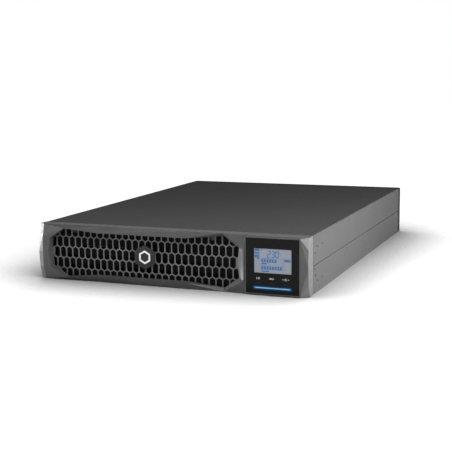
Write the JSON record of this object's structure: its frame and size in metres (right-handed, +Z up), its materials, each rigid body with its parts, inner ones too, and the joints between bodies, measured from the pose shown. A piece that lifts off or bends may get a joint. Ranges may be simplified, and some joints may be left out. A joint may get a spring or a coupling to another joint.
{
  "type": "uninterruptible power supply",
  "caption": "Flat rack and tower uninterruptible power supply with a honeycomb front grille, a turning square display and a slide-out battery tray.",
  "frame": {"origin": "middle of the underside of the whole unit, bezels and rear fittings included", "axes": "+X to the right seen from the front, +Y from the front bezel to the rear panel, +Z up"},
  "size_m": [0.438, 0.63, 0.0865],
  "materials": {
    "case_paint": "fine textured powder coat, charcoal",
    "panel_paint": "satin black powder coat",
    "bezel_plastic": "fine moulded texture, dark grey",
    "grille_plastic": "satin moulded, dark grey",
    "badge_plastic": "smooth black",
    "zinc_steel": "zinc plated sheet",
    "screw_steel": "plated, satin",
    "guard_chrome": "bright plated wire",
    "board_laminate": "green solder mask",
    "heatsink_aluminium": "extruded, plain",
    "component_epoxy": "moulded epoxy",
    "capacitor_sleeve": "shrink sleeve, dark blue",
    "copper_winding": "enamelled copper",
    "relay_blue": "moulded, blue",
    "standoff_brass": "turned",
    "wire_insulation": "insulated wire",
    "connector_nylon": "moulded nylon",
    "fan_plastic": "glass-filled black plastic",
    "socket_plastic": "moulded black plastic",
    "port_steel": "nickel plated shell",
    "breaker_red": "red push button",
    "battery_case": "moulded ABS case, dark grey",
    "link_copper": "bare copper strip",
    "handle_plastic": "moulded black plastic",
    "fascia_gloss": "smooth black acrylic",
    "window_clear": "clear hard-coated window",
    "screen_face": "pale backlit liquid crystal",
    "light_pipe": "lit light pipe, pale blue",
    "key_rubber": "soft black key"
  },
  "bodies": {
    "chassis": {"lower_chassis": "case_paint", "top_cover": "case_paint", "rear_panel": "panel_paint", "front_frame": "panel_paint", "bay_partition": "zinc_steel", "display_bezel": "bezel_plastic", "case_screws": "screw_steel", "power_board": "board_laminate", "heatsinks": "heatsink_aluminium", "power_transistors": "component_epoxy", "bulk_capacitors": "capacitor_sleeve", "power_inductors": "copper_winding", "relays": "relay_blue", "control_board": "board_laminate", "charger_board": "board_laminate", "charger_transformer": "copper_winding", "input_filter_board": "board_laminate", "board_standoffs": "standoff_brass", "mains_wiring": "wire_insulation", "battery_wiring": "wire_insulation", "battery_socket": "connector_nylon", "fan_housings": "fan_plastic", "fan_guards": "guard_chrome", "inlet_socket": "socket_plastic", "outlet_blocks": "socket_plastic", "high_current_outlet": "socket_plastic", "breaker_body": "socket_plastic", "data_ports": "port_steel", "remote_stop_terminal": "connector_nylon", "slot_cover": "panel_paint", "external_battery_port": "connector_nylon"},
    "breaker_button": {"breaker_button": "breaker_red"},
    "fan_rotor_left": {"fan_rotor_left": "fan_plastic"},
    "fan_rotor_right": {"fan_rotor_right": "fan_plastic"},
    "battery_pack": {"battery_tray": "zinc_steel", "battery_1": "battery_case", "battery_2": "battery_case", "battery_3": "battery_case", "battery_4": "battery_case", "battery_5": "battery_case", "battery_6": "battery_case", "battery_links": "link_copper", "tray_pull_handle": "handle_plastic", "tray_plug": "connector_nylon"},
    "battery_door": {"battery_door": "panel_paint", "door_thumbscrews": "screw_steel"},
    "grille_bezel": {"grille_bezel": "bezel_plastic", "honeycomb_grille": "grille_plastic", "bezel_badge": "badge_plastic"},
    "display_carriage": {"display_sleeve": "handle_plastic"},
    "display_head": {"display_housing": "handle_plastic", "display_fascia": "fascia_gloss", "display_window": "window_clear", "screen_panel": "screen_face", "display_board": "board_laminate", "display_cable": "wire_insulation", "light_bar": "light_pipe"},
    "on_button": {"on_button": "key_rubber"},
    "select_button": {"select_button": "key_rubber"},
    "standby_button": {"standby_button": "key_rubber"}
  },
  "joints": [
    {"name": "battery_tray_slide", "type": "slide", "parent": "chassis", "child": "battery_pack", "axis": [0, -1, 0], "range_m": [0, 0.3]},
    {"name": "battery_door_pull", "type": "slide", "parent": "chassis", "child": "battery_door", "axis": [0, -1, 0], "range_m": [0, 0.331]},
    {"name": "grille_bezel_pull", "type": "slide", "parent": "chassis", "child": "grille_bezel", "axis": [0, -1, 0], "range_m": [0, 0.376]},
    {"name": "display_pull", "type": "slide", "parent": "chassis", "child": "display_carriage", "axis": [0, -1, 0], "range_m": [0, 0.034]},
    {"name": "display_turn", "type": "hinge", "parent": "display_carriage", "child": "display_head", "pos_m": [0.166, -0.289, 0.04325], "axis": [0, 1, 0], "range_deg": [0, 90]},
    {"name": "on_button_press", "type": "slide", "parent": "display_head", "child": "on_button", "axis": [0, 1, 0], "range_m": [0, 0.0005], "stiffness_N_per_m": 500},
    {"name": "select_button_press", "type": "slide", "parent": "display_head", "child": "select_button", "axis": [0, 1, 0], "range_m": [0, 0.0005], "stiffness_N_per_m": 500},
    {"name": "standby_button_press", "type": "slide", "parent": "display_head", "child": "standby_button", "axis": [0, 1, 0], "range_m": [0, 0.0005], "stiffness_N_per_m": 500},
    {"name": "breaker_button_press", "type": "slide", "parent": "chassis", "child": "breaker_button", "axis": [0, -1, 0], "range_m": [0, 0.002], "stiffness_N_per_m": 1200},
    {"name": "fan_spin_left", "type": "hinge", "parent": "chassis", "child": "fan_rotor_left", "pos_m": [-0.171, 0.297, 0.04325], "axis": [0, 1, 0], "continuous": true},
    {"name": "fan_spin_right", "type": "hinge", "parent": "chassis", "child": "fan_rotor_right", "pos_m": [-0.086, 0.297, 0.04325], "axis": [0, 1, 0], "continuous": true}
  ],
  "couplings": [
    {"joint": "battery_door_pull", "follows": "battery_tray_slide", "ratio": 1.1},
    {"joint": "grille_bezel_pull", "follows": "battery_tray_slide", "ratio": 1.25},
    {"joint": "display_pull", "follows": "display_turn", "m_per_rad": 0.0216}
  ]
}
